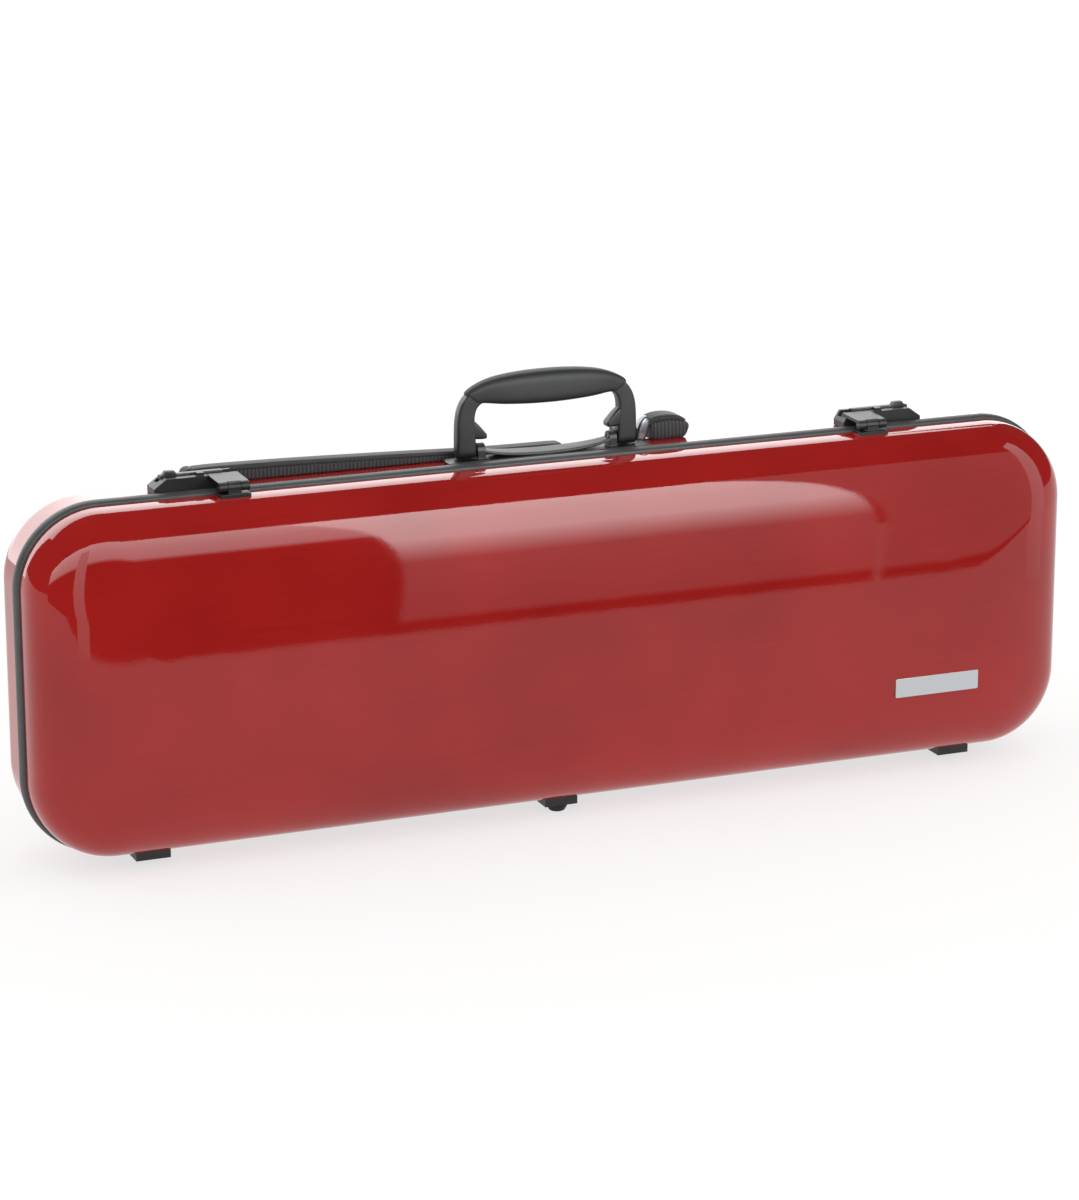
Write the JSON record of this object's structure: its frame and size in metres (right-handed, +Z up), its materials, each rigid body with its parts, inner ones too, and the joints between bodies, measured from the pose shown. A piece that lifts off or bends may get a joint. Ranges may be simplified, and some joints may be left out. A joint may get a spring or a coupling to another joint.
{
  "type": "violin case",
  "caption": "Oblong hard violin case in glossy red standing on its spine, with a hinged lid, sliding latches, folding handle, carrying strap and padded interior.",
  "frame": {"origin": "middle of the case's box, on the surface that the feet stand on", "axes": "+Z up, +X along the length of the case, -Y out of the front of the lid"},
  "size_m": [0.795, 0.1374, 0.323],
  "materials": {
    "shell_red": "gloss",
    "band_black": "satin",
    "fitting_black": "satin",
    "grip_black": "matte",
    "rubber_black": "matte",
    "steel_pin": "satin",
    "hook_metal": "satin",
    "plate_silver": "satin",
    "plush_grey": "matte",
    "strap_black": "matte",
    "pocket_black": "matte"
  },
  "bodies": {
    "base": {"base_shell": "shell_red", "base_valance": "band_black", "rim_seal": "rubber_black", "foam_end": "plush_grey", "foam_neck": "plush_grey", "foam_body": "plush_grey", "end_cushion": "plush_grey", "heel_cushion": "plush_grey", "neck_cradle": "plush_grey", "neck_strap": "strap_black", "handle_plate": "fitting_black", "strap_pad": "strap_black", "strap_webbing_left": "strap_black", "strap_webbing_right": "strap_black", "hinge_base_leaf_left": "fitting_black", "hinge_pin_left": "steel_pin", "foot_left": "rubber_black", "hinge_base_leaf_centre": "fitting_black", "hinge_pin_centre": "steel_pin", "hinge_base_leaf_right": "fitting_black", "hinge_pin_right": "steel_pin", "foot_right": "rubber_black", "back_foot_upper_left": "rubber_black", "back_foot_upper_right": "rubber_black", "back_foot_lower_left": "rubber_black", "back_foot_lower_right": "rubber_black", "latch_housing_left": "fitting_black", "handle_pin_left": "steel_pin", "strap_anchor_left": "fitting_black", "strap_ring_left": "hook_metal", "strap_hook_left": "hook_metal", "latch_housing_right": "fitting_black", "handle_pin_right": "steel_pin", "strap_anchor_right": "fitting_black", "strap_ring_right": "hook_metal", "strap_hook_right": "hook_metal"},
    "lid": {"lid_shell": "shell_red", "lid_rim": "fitting_black", "lid_lining": "plush_grey", "nameplate": "plate_silver", "foot_centre": "rubber_black", "bow_tip_pocket": "pocket_black", "bow_rest_upper": "plush_grey", "bow_rest_lower": "plush_grey", "hinge_lid_leaf_left": "fitting_black", "hinge_lid_leaf_centre": "fitting_black", "hinge_lid_leaf_right": "fitting_black", "latch_hinge_block_left": "fitting_black", "latch_pin_left": "steel_pin", "latch_hinge_block_right": "fitting_black", "latch_pin_right": "steel_pin"},
    "handle": {"handle_frame": "fitting_black", "handle_grip": "grip_black"},
    "latch_flap_left": {"latch_flap_left": "fitting_black"},
    "latch_flap_right": {"latch_flap_right": "fitting_black"},
    "latch_slide_left": {"latch_slide_left": "fitting_black"},
    "latch_slide_right": {"latch_slide_right": "fitting_black"},
    "pocket_lid": {"pocket_lid": "pocket_black"},
    "bow_button_upper": {"bow_button_upper": "fitting_black"},
    "bow_button_lower": {"bow_button_lower": "fitting_black"}
  },
  "joints": [
    {"name": "lid_hinge", "type": "hinge", "parent": "base", "child": "lid", "pos_m": [0, -0.0143, 0.0073], "axis": [1, 0, 0], "range_deg": [0, 100]},
    {"name": "latch_flap_left_hinge", "type": "hinge", "parent": "lid", "child": "latch_flap_left", "pos_m": [-0.244, -0.0218, 0.2624], "axis": [1, 0, 0], "range_deg": [0, 105]},
    {"name": "latch_flap_right_hinge", "type": "hinge", "parent": "lid", "child": "latch_flap_right", "pos_m": [0.244, -0.0218, 0.2624], "axis": [1, 0, 0], "range_deg": [0, 105]},
    {"name": "latch_slide_left_travel", "type": "slide", "parent": "base", "child": "latch_slide_left", "axis": [1, 0, 0], "range_m": [0, 0.008], "stiffness_N_per_m": 150},
    {"name": "latch_slide_right_travel", "type": "slide", "parent": "base", "child": "latch_slide_right", "axis": [-1, 0, 0], "range_m": [0, 0.008], "stiffness_N_per_m": 150},
    {"name": "handle_hinge", "type": "hinge", "parent": "base", "child": "handle", "pos_m": [0, 0.0097, 0.2635], "axis": [-1, 0, 0], "range_deg": [0, 64]},
    {"name": "pocket_lid_hinge", "type": "hinge", "parent": "base", "child": "pocket_lid", "pos_m": [-0.135, -0.0079, 0.181], "axis": [1, 0, 0], "range_deg": [0, 90]},
    {"name": "bow_button_upper_turn", "type": "hinge", "parent": "lid", "child": "bow_button_upper", "pos_m": [0.304, -0.0443, 0.178], "axis": [0, 1, 0], "range_deg": [0, 90]},
    {"name": "bow_button_lower_turn", "type": "hinge", "parent": "lid", "child": "bow_button_lower", "pos_m": [0.304, -0.0443, 0.088], "axis": [0, 1, 0], "range_deg": [0, 90]}
  ]
}
